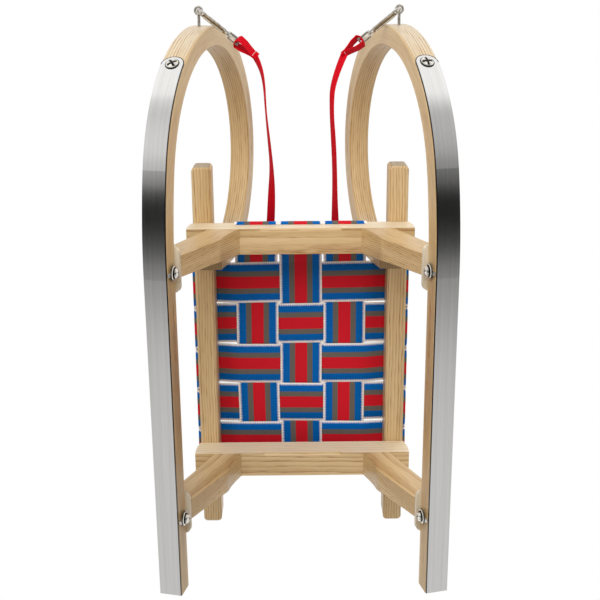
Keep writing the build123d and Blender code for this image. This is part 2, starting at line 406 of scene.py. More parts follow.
# Finishes
@dataclass(frozen=True)
class AshWood:
    """Clear-varnished ash, with rings, dark pores and darker cut ends."""

    pale: Colour = srgb(228, 201, 153)
    middle: Colour = srgb(205, 174, 122)
    dark: Colour = srgb(148, 93, 38)
    end_tone: float = 0.62
    end_dark: float = 0.4
    square_on: float = 0.8
    # Painted highlight: faces that look to the front are painted paler, with calmer grain,
    # standing in for the front light and the varnish's sheen
    fair_bar: Colour = srgb(248, 235, 206)
    fair_horn: Colour = srgb(214, 204, 182)
    fair_share: float = 0.7
    fair_calm: float = 0.6
    fair_slope: Pair = (-4.0, -2.6)
    wander: float = 3.0 * MM
    roughness: float = 0.42
    slow_scale: Point = (5.0, 26.0, 26.0)
    slow_scale_straight: Point = (11.0, 26.0, 26.0)
    fine_scale: Point = (11.0, 210.0, 210.0)
    pore_scale: Point = (45.0, 1300.0, 1300.0)
    broad_scale: Point = (3.0, 60.0, 60.0)
    year_step: float = 7.31
    runner_end_y: float = 0.3
    tail_y: float = -0.1
    tail_z: Pair = (0.1, 0.178)
    year: Pairs = (
        (0.0, 0.9), (0.1, 1.0), (0.26, 0.4), (0.6, 0.08), (0.92, 0.0), (1.0, 0.9))

    def coordinates(self, graph: Graph, grain: Grain, lean: float, shift: Point) -> Number:
        """Grain coordinates of a piece.

        Args:
            graph: the material's graph.
            grain: which way the grain runs.
            lean: for a leg, the angle of its length from upright.
            shift: moves the pattern, so that no two kinds of piece are alike.

        Returns:
            Along the grain and two ways across it, in metres.
        """
        x, y, z = graph.split(graph.place())
        cosine, sine = math.cos(lean), math.sin(lean)
        if grain is Grain.BENT:
            place = BEND.grain(graph)
        elif grain is Grain.ALONG_X:
            place = graph.join(x, y, z)
        elif grain is Grain.LEG:
            place = graph.join(abs(x) * sine - z * cosine, y, abs(x) * cosine + z * sine)
        else:
            place = graph.join(y, x, z)
        return graph.vector("ADD", place, shift)

    def cut_end(self, graph: Graph, grain: Grain) -> Number:
        """Find the faces that cut across the grain.

        Args:
            graph: the material's graph.
            grain: which way the grain runs.

        Returns:
            1 on those faces, and 0 elsewhere.
        """
        face_x, face_y, face_z = graph.split(graph.place("Normal"))
        if grain is not Grain.BENT:
            return abs(face_x if grain is Grain.ALONG_X else face_y) > self.square_on
        _, y, z = graph.split(graph.place())
        rear = (face_y > self.square_on) * (y > self.runner_end_y)
        low, high = self.tail_z
        tail = (face_z < -self.square_on) * (z < high) * ((y > self.tail_y) * (z > low))
        return graph.math("MAXIMUM", rear, tail)

    def build(self, name: str, grain: Grain, lean: float, pith: tuple[float, float],
              shift: float, ring: float) -> Material:
        """Make the material for one kind of piece.

        Args:
            name: the material's name.
            grain: which way the grain runs.
            lean: for a leg, the angle of its length from upright.
            pith: where the rings' middle lies across the grain, in metres.
            shift: moves the pattern along the grain.
            ring: the rings' spacing, in metres.

        Returns:
            The material.
        """
        graph = Finish(name)
        place = self.coordinates(graph, grain, lean, (shift, 0.0, 0.0))
        _, across, depth = graph.split(place)
        straight = grain in (Grain.ALONG_X, Grain.ALONG_Y)
        slow = graph.noise(place, self.slow_scale_straight if straight else self.slow_scale, 2.0)
        fine = graph.noise(place, self.fine_scale, 2.0)
        reach = graph.root_of_squares(across - pith[0], depth - pith[1])
        warped = (slow - 0.5) * (2 * self.wander) + reach
        turns = ((fine - 0.5) * (0.5 * ring) + warped) / ring
        year = graph.math("FLOOR", turns) * self.year_step
        strong = graph.noise(graph.join(year, 0.5, 0.5), (1.0, 1.0, 1.0), 0.0)
        rings = graph.ramp(graph.math("FRACT", turns), self.year) * (strong * 1.3 + 0.2)
        pores = graph.noise(place, self.pore_scale, 1.0)
        pore = ((pores - 0.5).clamped() * 5.0).clamped()
        streak = (rings * (pore * 0.75 + 0.5)).clamped()
        streak = (pore * 0.13 + streak).clamped()
        broad = graph.noise(place, self.broad_scale, 3.0)
        ground = graph.ramp(broad, ((0.32, self.middle), (0.66, self.pale)))
        # Painted highlight: a paler colour and weaker streaks on faces toward the front
        if grain in (Grain.BENT, Grain.ALONG_X):
            slope, start = self.fair_slope
            lit_front = (graph.split(graph.place("Normal"))[1] * slope + start).clamped()
            if grain is Grain.ALONG_X:
                streak = streak * (lit_front * -self.fair_calm + 1.0)
            painted_light = self.fair_horn if grain is Grain.BENT else self.fair_bar
            ground = graph.mix(lit_front * self.fair_share, ground, painted_light)
        wood = graph.mix(streak * 0.92, ground, self.dark)
        if grain is not Grain.LEG:
            cut = graph.mix(streak, shaded(self.middle, self.end_tone),
                            shaded(self.dark, self.end_dark))
            wood = graph.mix(self.cut_end(graph, grain), wood, cut)
        return graph.surface({
            "Base Color": wood, "Roughness": streak * 0.12 + self.roughness,
            "Specular IOR Level": 0.5, "Coat Weight": 0.1, "Coat Roughness": 0.22,
        }, 1.0 - streak, 0.2, 0.12 * MM)


@dataclass(frozen=True)
class BrushedShoe:
    """Flat steel brushed along its length, with painted shade and reflection as a dark line along
    its inner edge and rounded end.
    """

    colour: Colour = srgb(242, 241, 239)
    dull: Colour = srgb(228, 227, 224)
    # Painted shade and reflection: the colour of the dark line at the inner edge and the end
    edge_colour: Colour = srgb(52, 48, 46)
    roughness: float = 0.09
    inner: float = 0.5 * MM
    outer: float = 25.5 * MM
    round: float = 12.0 * MM
    line: float = 1.05 * MM
    line_blur: float = 0.35 * MM
    reach: float = -BEND.nose_radius * math.radians(90.0 - 56.5)
    streak_scale: Point = (11.0, 3000.0, 200.0)
    broad_scale: Point = (3.0, 300.0, 40.0)

    def build(self, name: str) -> Material:
        """Make the material."""
        graph = Finish(name)
        place = BEND.grain(graph)
        along, across, _ = graph.split(place)
        streak = graph.noise(place, self.streak_scale, 3.0, 0.6)
        broad = graph.noise(place, self.broad_scale, 2.0)
        bright = graph.ramp(broad * 0.5 + streak * 0.5, ((0.34, self.dull), (0.62, self.colour)))
        # The painted shade and reflection, a dark line, follows the inner edge and the rounded end
        end, from_inner = self.reach - along, across - self.inner
        from_side = graph.math("MINIMUM", from_inner, self.outer - across)
        corner = graph.root_of_squares(*(graph.math("MAXIMUM", self.round - off, 0.0)
                                         for off in (from_side, end)))
        from_edge = (end < self.round).pick(from_inner, self.round - corner)
        rim = ((self.line - from_edge) / self.line_blur).clamped()
        return graph.surface({
            "Base Color": graph.mix(rim, bright, self.edge_colour), "Metallic": 1.0,
            "Roughness": streak * 0.16 + self.roughness}, streak, 0.15, 0.05 * MM)


@dataclass(frozen=True)
class PlatedMetal:
    """Bright zinc or nickel plating on small hardware, dark where a part's attribute says so:
    painted shade in recesses, grooves and along plate edges, and a darker washer ring.
    """

    colour: Colour = srgb(236, 231, 222)
    roughness: float = 0.14
    metallic: float = 0.82
    # The colour of the painted shade, and of a dark washer's ring
    crevice: Colour = (0.012, 0.011, 0.011)
    cloud_scale: Point = (240.0, 240.0, 240.0)

    def build(self, name: str) -> Material:
        """Make the material."""
        graph = Finish(name)
        cloud = graph.noise(graph.place(), self.cloud_scale, 3.0)
        clean = graph.ramp(cloud, ((0.35, shaded(self.colour, 0.6)), (0.62, self.colour)))
        # Painted shade in recesses, grooves and along plate edges, and a darker washer ring, read
        # from the part
        dirt = graph.get("ShaderNodeAttribute", out="Fac", attribute_name="dirt")
        return graph.surface({
            "Base Color": graph.mix(dirt, clean, self.crevice), "Metallic": self.metallic,
            "Roughness": cloud * 0.2 + self.roughness})


@dataclass(frozen=True)
class StripedWebbing:
    """Seat webbing striped along its length; its map gives place across and along."""

    blue: Colour = srgb(0, 103, 187)
    grey: Colour = srgb(108, 103, 97)
    red: Colour = srgb(214, 30, 45)
    white: Colour = srgb(252, 247, 244)
    edge: float = 0.055
    blue_share: float = 0.172
    grey_share: float = 0.129
    tooth_pitch: float = 2.2 * MM
    rib_pitch: float = 1.3 * MM
    yarns: int = 46
    tooth_from: float = 0.4
    tooth_share: float = 0.02
    fuzz_scale: Point = (60.0, 900.0, 1.0)
    fuzz_share: float = 0.012
    mottle_scale: Point = (70.0, 1400.0, 1.0)

    def build(self, name: str) -> Material:
        """Make the material."""
        graph = Finish(name)
        uv = graph.get("ShaderNodeUVMap", uv_map="UVMap")
        across, along, _ = graph.split(uv)
        centred = abs(across - 0.5)
        tooth = graph.wave(along, self.tooth_pitch) * self.tooth_share
        tooth = tooth * (centred > self.tooth_from)
        fuzz = (graph.noise(uv, self.fuzz_scale, 1.0) - 0.5) * self.fuzz_share
        blue_start = 1 - 2 * (self.edge + self.blue_share)
        colour = graph.ramp((centred + tooth + fuzz) * 2.0, (
            (0.0, self.red), (blue_start - 2 * self.grey_share, self.grey),
            (blue_start, self.blue), (1 - 2 * self.edge, self.white)), "CONSTANT")
        yarn = (graph.wave(along, self.rib_pitch) * 0.5
                + graph.wave(across, 1 / self.yarns) * 0.35)
        mottle = graph.noise(uv, self.mottle_scale, 3.0)
        shade = yarn * 0.07 + (mottle * 0.3 + 0.85)
        cloth = graph.mix(1.0, colour, graph.join(shade, shade, shade), "MULTIPLY")
        return graph.surface({"Base Color": cloth, "Roughness": 0.85,
                              "Specular IOR Level": 0.12}, yarn, 0.4, 0.2 * MM)


@dataclass(frozen=True)
class RedStrap:
    """Flat woven polyester strap; its map gives place across and along."""

    light: Colour = srgb(226, 4, 30)
    deep: Colour = srgb(172, 0, 20)
    rib_pitch: float = 1.1 * MM
    yarns: int = 9
    mottle_scale: Point = (9.0, 500.0, 1.0)

    def build(self, name: str) -> Material:
        """Make the material."""
        graph = Finish(name)
        uv = graph.get("ShaderNodeUVMap", uv_map="UVMap")
        across, along, _ = graph.split(uv)
        yarn = (graph.wave(along, self.rib_pitch) * 0.25
                + (graph.wave(across, 1 / self.yarns) * 0.15 + 0.5))
        mottle = graph.noise(uv, self.mottle_scale, 3.0)
        tone = yarn * 0.5 + mottle * 0.5
        return graph.surface({
            "Base Color": graph.ramp(tone, ((0.25, self.deep), (0.7, self.light))),
            "Roughness": 0.7, "Specular IOR Level": 0.15}, yarn, 0.35, 0.15 * MM)


@dataclass(frozen=True)
class Thread:
    """White sewing thread."""

    colour: Colour = srgb(236, 226, 224)
    twist_scale: Point = (2600.0, 2600.0, 2600.0)

    def build(self, name: str) -> Material:
        """Make the material."""
        graph = Finish(name)
        twist = graph.noise(graph.place(), self.twist_scale, 2.0)
        tone = graph.ramp(twist, ((0.35, shaded(self.colour, 0.78)), (0.6, self.colour)))
        return graph.surface({"Base Color": tone, "Roughness": 0.7})


# Geometry trees
class GeometryTree(Graph):
    """A geometry tree with named inputs, applied to one object and then removed."""

    kinds = {float: "Float", int: "Int", bool: "Bool", tuple: "Vector", type(None): "Object"}

    def __init__(self, name: str, inputs: Mapping[str, object]) -> None:
        """Start the tree.

        Args:
            name: the tree's name.
            inputs: the default of each input between the geometry and the material; its
                type gives the socket's, and None stands for an object.
        """
        super().__init__(bpy.data.node_groups.new(name, "GeometryNodeTree"))
        self.identifiers: dict[str, str] = {}
        sockets = [("Geometry", "INPUT", "Geometry", None)]
        sockets += [(label, "INPUT", self.kinds[type(default)], default)
                    for label, default in inputs.items()]
        sockets += [("Material", "INPUT", "Material", None),
                    ("Geometry", "OUTPUT", "Geometry", None)]
        for label, way, kind, default in sockets:
            socket = self.tree.interface.new_socket(label, in_out=way,
                                                    socket_type=f"NodeSocket{kind}")
            self.identifiers[label] = socket.identifier
            if default is not None:
                socket.default_value = default
        self.start = self.node("NodeGroupInput")

    def value(self, label: str) -> Number:
        """What a named input gives."""
        return Number(self, self.start.outputs[label])

    def keep(self, geometry: Number, label: str, value: Number) -> tuple[Number, Number]:
        """Keep a number of a curve's points for later.

        Args:
            geometry: the curve.
            label: the number's name.
            value: the number.

        Returns:
            The curve and the kept number.
        """
        node = self.node("GeometryNodeCaptureAttribute", domain="POINT")
        node.capture_items.new("FLOAT", label)
        self.fill(node, {0: geometry, 1: value})
        return Number(self, node.outputs[0]), Number(self, node.outputs[1])

    def switch(self, test: Number, no: Number, yes: Number) -> Number:
        """One geometry or another."""
        return self.get("GeometryNodeSwitch", {"Switch": test, "False": no, "True": yes},
                        input_type="GEOMETRY")

    def finish(self, geometry: Number) -> None:
        """End the tree with real geometry in the given material."""
        real = self.get("GeometryNodeRealizeInstances", {0: geometry})
        dressed = self.get("GeometryNodeSetMaterial",
                           {"Geometry": real, "Material": self.value("Material")})
        self.node("NodeGroupOutput", {0: dressed})

    def apply(self, base: Object, name: str, **values: object) -> Object:
        """Run the tree on an object and keep the result as a plain mesh.

        Args:
            base: the object that carries the tree; it is removed.
            name: the new piece's name.
            values: the inputs' values, with _ for a space.

        Returns:
            The new piece.
        """
        modifier = base.modifiers.new("make", "NODES")
        modifier.node_group = self.tree
        for label, value in values.items():
            modifier[self.identifiers[label.replace("_", " ")]] = value
        bpy.context.view_layer.update()
        graph = bpy.context.evaluated_depsgraph_get()
        mesh = bpy.data.meshes.new_from_object(base.evaluated_get(graph))
        mesh.name = name
        bpy.data.objects.remove(base)
        return linked(name, mesh)


def band_tree() -> GeometryTree:
    """A flat woven band swept along a path, with weft ribs and a toothed edge.

    Returns:
        The tree. Its object is a curve; Side gives the way across the band.
    """
    tree = GeometryTree("woven_band", {
        "Width": 0.051, "Thickness": 0.0012, "Corner": 0.002, "Rib Pitch": 0.0013,
        "Rib Depth": 0.0001, "Tooth Pitch": 0.0022, "Tooth Depth": 0.0006,
        "Side": (1.0, 0.0, 0.0), "Cuts": 3, "Free": True})
    line, width, thickness, free, rib_pitch = (tree.value(label) for label in (
        "Geometry", "Width", "Thickness", "Free", "Rib Pitch"))
    rounded = tree.get("GeometryNodeFilletCurve", {
        "Curve": line, "Radius": tree.value("Corner"), "Limit Radius": True, "Count": 6},
        mode="POLY")
    even = tree.get("GeometryNodeResampleCurve", {
        "Curve": tree.switch(free, line, rounded), "Length": rib_pitch / 4.0}, mode="LENGTH")
    turned = tree.get("GeometryNodeSetCurveNormal", {
        "Curve": even, "Normal": tree.value("Side")}, mode="FREE")
    path, along = tree.keep(tree.switch(free, even, turned), "Along",
                            tree.get("GeometryNodeSplineParameter", out="Length"))

    rounding, edge_from = 0.45, 0.485
    profile = tree.get("GeometryNodeCurvePrimitiveQuadrilateral",
                       {"Width": width, "Height": thickness}, mode="RECTANGLE")
    edge = tree.get("GeometryNodeFilletCurve", {
        "Curve": profile, "Radius": thickness * rounding, "Count": 2}, mode="POLY")
    fine = tree.get("GeometryNodeSubdivideCurve", {"Curve": edge, "Cuts": tree.value("Cuts")})
    off = tree.split(tree.get("GeometryNodeInputPosition"))[0]
    outline, across = tree.keep(fine, "Across", off / width)

    swept = tree.get("GeometryNodeCurveToMesh", {
        "Curve": path, "Profile Curve": outline, "Fill Caps": True})
    flat = abs(across) < edge_from
    lift = tree.wave(along, rib_pitch) * flat * tree.value("Rib Depth")
    tooth = tree.wave(along, tree.value("Tooth Pitch")) * 0.5 - 0.5
    pull = tooth * ((1.0 - flat) * tree.value("Tooth Depth"))
    offset = tree.get("ShaderNodeVectorMath", {
        0: tree.get("GeometryNodeInputNormal"), "Scale": lift + pull}, operation="SCALE")
    moved = tree.get("GeometryNodeSetPosition", {"Geometry": swept, "Offset": offset})
    mapped = tree.get("GeometryNodeStoreNamedAttribute", {
        "Geometry": moved, "Name": "UVMap", "Value": tree.join(across + 0.5, along, 0.0)},
        data_type="FLOAT2", domain="CORNER")
    tree.finish(tree.get("GeometryNodeSetShadeSmooth", {"Geometry": mapped}))
    return tree


def scatter_tree() -> GeometryTree:
    """Copies of one small part at points that carry a turn.

    Returns:
        The tree. Its object is a mesh of points with a "turn" attribute.
    """
    tree = GeometryTree("fixings", {"Part": None})
    part = tree.get("GeometryNodeObjectInfo", {"Object": tree.value("Part")}, "Geometry",
                    transform_space="ORIGINAL")
    turn = tree.get("GeometryNodeInputNamedAttribute", {"Name": "turn"},
                    data_type="QUATERNION")
    tree.finish(tree.get("GeometryNodeInstanceOnPoints", {
        "Points": tree.value("Geometry"), "Instance": part, "Rotation": turn}))
    return tree


# Objects
def linked(name: str, data: bpy.types.ID) -> Object:
    """Put a mesh, curve, lamp or camera into the scene as an object."""
    piece = bpy.data.objects.new(name, data)
    bpy.context.scene.collection.objects.link(piece)
    return piece


def curve_object(name: str, points: Sequence[Vector], kind: str = "POLY",
                 tilts: Sequence[float] = ()) -> Object:
    """A curve through or along points.

    Args:
        name: the object's name.
        points: the points, in metres.
        kind: POLY for straight runs or NURBS for a smooth line.
        tilts: the twist at each point, in radians.

    Returns:
        The curve's object.
    """
    curve = bpy.data.curves.new(name, "CURVE")
    curve.dimensions = "3D"
    spline = curve.splines.new(kind)
    spline.points.add(len(points) - 1)
    for index, point in enumerate(points):
        spline.points[index].co = (*point, 1.0)
        if tilts:
            spline.points[index].tilt = tilts[index]
    if kind == "NURBS":
        spline.order_u = 3
        spline.use_endpoint_u = True
        spline.resolution_u = 24
    return linked(name, curve)


def line_of(curve: Object) -> list[Vector]:
    """Read the points of a curve's smooth line.

    Args:
        curve: the curve's object.

    Returns:
        The points, in metres.
    """
    graph = bpy.context.evaluated_depsgraph_get()
    mesh = bpy.data.meshes.new_from_object(curve.evaluated_get(graph))
    points = [vertex.co.copy() for vertex in mesh.vertices]
    bpy.data.meshes.remove(mesh)
    return points


def mesh_object(name: str, mesh: bmesh.types.BMesh, smooth: float,
                material: Material | None = None) -> Object:
    """Turn a bmesh into an object.

    Args:
        name: the object's name.
        mesh: the shape; it is freed.
        smooth: the largest angle that shades smooth, in degrees.
        material: its finish.

    Returns:
        The object.
    """
    data = bpy.data.meshes.new(name)
    bmesh.ops.recalc_face_normals(mesh, faces=mesh.faces)
    mesh.to_mesh(data)
    mesh.free()
    if material:
        data.materials.append(material)
    data.polygons.foreach_set("use_smooth", [True] * len(data.polygons))
    data.set_sharp_from_angle(angle=math.radians(smooth))
    return linked(name, data)


def block(name: str, ends: Sequence[Sequence[Vector]], edge: float,
          material: Material, dirt: float = 0.0) -> Object:
    """A block between two outlines, with its edges rounded.

    Args:
        name: the object's name.
        ends: the two outlines, with as many points each.
        edge: the width of the rounding.
        material: its finish.
        dirt: how dark the second outline is, as painted shade.

    Returns:
        The object.
    """
    shape = bmesh.new()
    layer = shape.verts.layers.float.new("dirt")
    rings = [[shape.verts.new(point) for point in end] for end in ends]
    # Painted shade on the second outline
    for point in rings[1]:
        point[layer] = dirt
    shape.faces.new(rings[0])
    shape.faces.new(list(reversed(rings[1])))
    for step in range(len(rings[0])):
        after = (step + 1) % len(rings[0])
        shape.faces.new((rings[0][step], rings[0][after], rings[1][after], rings[1][step]))
    bmesh.ops.recalc_face_normals(shape, faces=shape.faces)
    bmesh.ops.bevel(shape, geom=list(shape.edges), offset=edge, segments=2, affect="EDGES",
                    clamp_overlap=True)
    return mesh_object(name, shape, 30.0, material)


def scattered(name: str, part: Object, places: Sequence[tuple[Vector, Vector]],
              spin: float, material: Material) -> Object:
    """Copy a part to places, standing along a direction at each.

    Args:
        name: the new piece's name.
        part: the part; it is removed.
        places: a point and a direction for each copy.
        spin: the part's turn about its own axis, in degrees.
        material: the finish.

    Returns:
        The copies, as one piece.
    """
    data = bpy.data.meshes.new(f"{name}_places")
    data.from_pydata([tuple(point) for point, _ in places], [], [])
    turns = data.attributes.new("turn", "QUATERNION", "POINT")
    own_turn = Quaternion((0.0, 0.0, 1.0), math.radians(spin))
    for item, (_, direction) in zip(turns.data, places):
        item.value = direction.to_track_quat("Z", "Y") @ own_turn
    base = linked(f"{name}_places", data)
    piece = scatter_tree().apply(base, name, Part=part, Material=material)
    bpy.data.objects.remove(part)
    return piece


def register(piece: Object, slot: str, *replaced: str) -> Object:
    """Ride a piece on the sled.

    Args:
        piece: the piece.
        slot: its material slot; not used.
        replaced: the solid nodes that it stands for, which are hidden.

    Returns:
        The piece.
    """
    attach(piece, ROOT)
    if replaced:
        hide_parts(*replaced)
    LOG.info("%s: %d faces", piece.name, len(piece.data.polygons))
    return piece


def dress(frame: dict, node: str, material: Material) -> None:
    """Give a node of the solid model its finish.

    Args:
        frame: the loaded frame.
        node: the node's name.
        material: the finish.
    """
    mesh = frame["nodes"][node].data
    mesh.materials.clear()
    mesh.materials.append(material)
    LOG.info("%s: dressed", node)


# Sub-assemblies
@dataclass
class WoodFrame:
    """The ash pieces: runners, trestles, foot pads and side rails."""

    leg_lean: float = math.radians(24.3)
    bevel: float = 0.9 * MM

    def dress(self, frame: dict) -> None:
        """Give each wooden node ash with its own run of grain.

        Args:
            frame: the loaded frame.
        """
        ash = AshWood()
        pale = AshWood(srgb(240, 232, 212), srgb(230, 220, 196), srgb(206, 192, 160), 0.95)
        # Material, wood, grain, pith, shift along the grain, ring spacing, soft edges, nodes
        for name, wood, grain, pith, shift, ring, soft, nodes in (
                ("ash_bent", ash, Grain.BENT, (0.06, 0.012), 0.3, 2.8, False, "runner_{}"),
                ("ash_rail", ash, Grain.ALONG_Y, (0.02, 0.24), 0.9, 3.0, False, "side_rail_{}"),
                ("ash_bar_front", ash, Grain.ALONG_X, (-0.045, 0.11), 0.15, 4.6, True,
                 "crossbar_front"),
                ("ash_bar_rear", ash, Grain.ALONG_X, (0.25, 0.115), 1.15, 4.6, True,
                 "crossbar_rear"),
                ("pale_pad", pale, Grain.PAD, (0.0, -0.05), 2.0, 2.6, False,
                 "foot_pad_front_{} foot_pad_rear_{}"),
                ("ash_leg_front", ash, Grain.LEG, (-0.3, 0.32), 0.0, 2.0, True, "leg_front_{}"),
                ("ash_leg_rear", ash, Grain.LEG, (-0.12, 0.085), 0.5, 3.4, True, "leg_rear_{}")):
            material = wood.build(name, grain, self.leg_lean, pith, shift, ring * MM)
            stems = [stem for side in Side for stem in nodes.replace("{}", side.label).split()]
            for node in dict.fromkeys(stems):
                dress(frame, node, material)
                if soft:
                    self.soften(frame["nodes"][node])

    def soften(self, piece: Object) -> None:
        """Round a node's sharp edges a little, without changing its mesh.

        Args:
            piece: the node's object.
        """
        piece.modifiers.new("weld", "WELD").merge_threshold = 0.01 * MM
        bevel = piece.modifiers.new("soft_edges", "BEVEL")
        bevel.width = self.bevel
        bevel.segments = 2
        bevel.limit_method = "ANGLE"
        bevel.angle_limit = math.radians(40.0)


@dataclass(frozen=True)
class CrossHead:
    """A domed cross-head fixing on its washer, standing up from z = 0."""

    washer: float
    plate: float
    head: float
    dome: float
    recess: float = 2.7 * MM
    arm: float = 1.1 * MM
    depth: float = 1.6 * MM
    dark_washer: bool = False
    groove: float = 0.5 * MM
    rim: float = 0.25
    washer_dirt: float = 0.93
    segments: int = 48

    def outline(self) -> list[tuple[float, float]]:
        """Radius and height from the head's middle out to the washer's foot."""
        domed = [(share * self.head,
                  self.plate + self.dome * (self.rim + (1 - self.rim) * math.sqrt(1 - share ** 2)))
                 for share in (0.12, 0.24, 0.36, 0.5, 0.64, 0.78, 0.88, 0.95, 1.0)]
        return domed + [
            (self.head, self.plate), (self.head + self.groove / 2, self.plate - 0.35 * MM),
            (0.82 * self.washer, self.plate), (0.93 * self.washer, 0.8 * self.plate),
            (self.washer, 0.35 * self.plate), (self.washer, 0.0)]

    def build(self, name: str) -> Object:
        """Make the fixing.

        Args:
            name: the object's name.

        Returns:
            The object, which a scatter tree copies into place.
        """
        shape = bmesh.new()
        dirt = shape.verts.layers.float.new("dirt")
        outline = self.outline()
        middle = shape.verts.new((0.0, 0.0, outline[0][1] - self.depth))
        # Painted shade at the bottom of the cross recess
        middle[dirt] = 1.0
        rows = []
        for radius, height in outline:
            groove = self.head <= radius < self.head + self.groove
            foot = height < 0.5 * self.plate
            row = []
            for step in range(self.segments):
                angle = TURN * step / self.segments
                x, y = radius * math.cos(angle), radius * math.sin(angle)
                sunk = radius <= self.recess and min(abs(x), abs(y)) < self.arm / 2
                point = shape.verts.new((x, y, height - (self.depth if sunk else 0.0)))
                dark = self.dark_washer and radius > self.head
                # Painted shade in the cross recess, the groove under the head and the washer's
                # foot; a dark washer's ring is darker too
                point[dirt] = float(sunk or groove or foot) or self.washer_dirt * dark
                row.append(point)
            rows.append(row)
        for step in range(self.segments):
            after = (step + 1) % self.segments
            shape.faces.new((middle, rows[0][step], rows[0][after]))
            for inner, outer in zip(rows, rows[1:]):
                shape.faces.new((inner[step], outer[step], outer[after], inner[after]))
        shape.faces.new(rows[-1])
        return mesh_object(name, shape, 32.0)


@dataclass
class Ironwork:
    """The steel shoes, their screws, the trestle bolts, the eyes and the snap hooks."""

    screw: CrossHead = CrossHead(7.7 * MM, 0.4 * MM, 6.8 * MM, 1.7 * MM, 5.4 * MM, 2.3 * MM,
                                 1.0 * MM, dark_washer=True)
    bolt: CrossHead = CrossHead(8.4 * MM, 1.3 * MM, 5.9 * MM, 4.4 * MM)
    screw_across: float = 13.0 * MM
    screw_angle: float = math.radians(52.7)
    shoe_reach: float = 0.1725
    bolt_height: float = 0.0136
    bolt_stand: float = 2.2 * MM
    bolts_y: tuple[tuple[str, float], ...] = (("front", -0.058), ("rear", 0.2227))
    tab: Point = (2.2 * MM, 4.3 * MM, 13.0 * MM)
    eye_middle: Point = (0.10947, -0.3125, 0.16334)
    hook_aim: Point = (-0.78708, 0.61375, -0.06191)
    hook_start: float = 4.0
    strip_tilt: float = math.radians(-28.0)
    strip: Pairs = (
        (2.5, -1.5), (5.0, -3.0), (25.0, -2.8), (32.5, -2.0), (32.5, 2.0), (25.0, 2.9),
        (5.0, 3.1), (2.5, 1.5))
    rib: Pairs = ((3.5, 0.3), (30.5, 0.3), (30.5, -2.1), (3.5, -2.1))
    face: Pairs = ((37.0, 3.2), (46.5, 2.8), (46.5, -2.8), (37.0, -3.2))

    def dress(self, frame: dict) -> None:
        """Give the metal nodes their finishes and add the fixings.

        Args:
            frame: the loaded frame.
        """
        steel = BrushedShoe().build("brushed_shoe")
        plated = PlatedMetal().build("plated_hardware")
        bright = PlatedMetal(srgb(252, 248, 238), 0.09, 0.9).build("bright_fixing")
        pale = PlatedMetal(srgb(240, 233, 216), 0.24, 0.35).build("pale_nickel")
        spring = PlatedMetal(srgb(158, 140, 112), 0.22).build("spring_strip")
        for side in Side:
            dress(frame, f"shoe_{side.label}", steel)
            dress(frame, f"eye_screw_{side.label}", plated)
            dress(frame, f"snap_hook_{side.label}", plated)
            self.screws(side, bright)
            self.bolts(side, bright)
            self.plates(side, spring, pale)

    def screws(self, side: Side, material: Material) -> None:
        """The screw that holds the shoe on the nose.

        Args:
            side: which runner.
            material: the finish.
        """
        nose_y, nose_height = BEND.nose
        centre_y = nose_y + BEND.nose_radius
        inside = BEND.point(side, self.screw_across, centre_y, nose_height)
        point = BEND.point(side, self.screw_across,
                           centre_y - self.shoe_reach * math.sin(self.screw_angle),
                           nose_height - self.shoe_reach * math.cos(self.screw_angle))
        register(scattered(f"shoe_screw_{side.label}", self.screw.build("screw_shape"),
                           [(point, (point - inside).normalized())], 20.0, material), "zinc")

    def plates(self, side: Side, spring: Material,
               pale: Material) -> None:
        """The spring strip over a snap hook's wires, its rib and the face of its lug.

        Args:
            side: which hook.
            spring: the strip's finish.
            pale: the rib's and the face's finish.
        """
        up = Vector((-math.sin(BEND.cant), 0.0, math.cos(BEND.cant)))
        aim = Vector(self.hook_aim).normalized()
        level = up.cross(aim).normalized()
        wide = level * math.cos(self.strip_tilt) + aim.cross(level) * math.sin(self.strip_tilt)
        thick = aim.cross(wide)
        # Outline, the share of its width at the outer face, and both faces' heights in mm
        for name, outline, narrow, low, high, material in (
                ("hook_strip", self.strip, 1.0, -2.0, -1.1, spring),
                ("hook_rib", self.rib, 0.55, -2.9, -1.9, pale),
                ("hook_face", self.face, 0.8, -2.5, -0.9, pale)):
            middle = sum(off for _, off in outline) / len(outline)
            ends = []
            for height, share in ((low, narrow), (high, 1.0)):
                places = [Vector(self.eye_middle) + MM * (
                    aim * (self.hook_start + run) + wide * (middle + (off - middle) * share)
                    + thick * height) for run, off in outline]
                ends.append([(side.value * place.x, place.y, place.z) for place in places])
            # Painted shade on each plate's second, full-width outline, darker the narrower its
            # outer face
            register(block(f"{name}_{side.label}", ends, 0.2 * MM, material,
                           min(2.0 * (1.0 - narrow), 1.0)), "zinc")

    def bolts(self, side: Side, material: Material) -> None:
        """The bolts that hold the trestles, on steel tabs up a runner's inner side.

        Args:
            side: which runner.
            material: the finish.
        """
        thick, wide, tall = self.tab
        places = []
        for end, y in self.bolts_y:
            point = BEND.point(side, -self.bolt_stand, y, self.bolt_height)
            away = BEND.point(side, -1.0, y, self.bolt_height) - point
            places.append((point, away.normalized()))
            corners = [[BEND.point(side, lateral, y + off, height) for off, height in (
                (-wide / 2, BEND.sole), (wide / 2, BEND.sole), (wide / 2, tall),
                (-wide / 2, tall))] for lateral in (0.0, -thick)]
            register(block(f"bolt_tab_{end}_{side.label}", corners, 0.35 * MM, material), "zinc")
        register(scattered(f"trestle_bolts_{side.label}", self.bolt.build("bolt_shape"), places,
                           30.0, material), "zinc")


